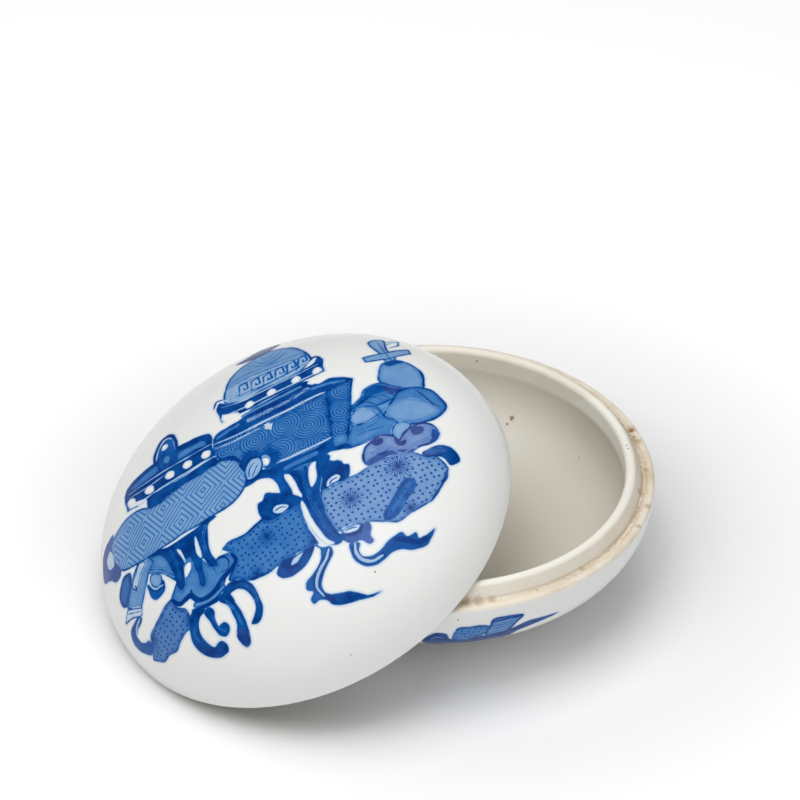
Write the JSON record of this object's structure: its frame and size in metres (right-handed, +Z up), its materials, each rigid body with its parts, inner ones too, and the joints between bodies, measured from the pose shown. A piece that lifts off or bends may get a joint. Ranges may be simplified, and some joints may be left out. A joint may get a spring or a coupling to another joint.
{
  "type": "seal paste box",
  "caption": "Round porcelain box for seal paste: a shallow bowl with a bare ledge and a raised lip, and a domed cover that leans open against it.",
  "frame": {"origin": "middle of the foot ring's bearing edge, on the surface that the bowl stands on", "axes": "+Z up along the bowl's axis, +X away from the side that the cover leans towards, so that the XZ plane is the object's mirror plane"},
  "size_m": [0.0979, 0.076, 0.0431],
  "materials": {
    "bowl_porcelain": "clear glossy glaze over white porcelain, bare warm biscuit on the ledge, lip and foot ring, cobalt ornament",
    "cover_porcelain": "clear glossy glaze over white porcelain, bare warm biscuit on the rim, cobalt ornament on the dome"
  },
  "bodies": {
    "bowl": {"bowl": "bowl_porcelain"},
    "cover": {"cover": "cover_porcelain"}
  },
  "joints": [
    {"name": "cover_lift", "type": "slide", "parent": "bowl", "child": "cover", "axis": [0, 0, 1], "range_m": [0, 0.07]}
  ]
}
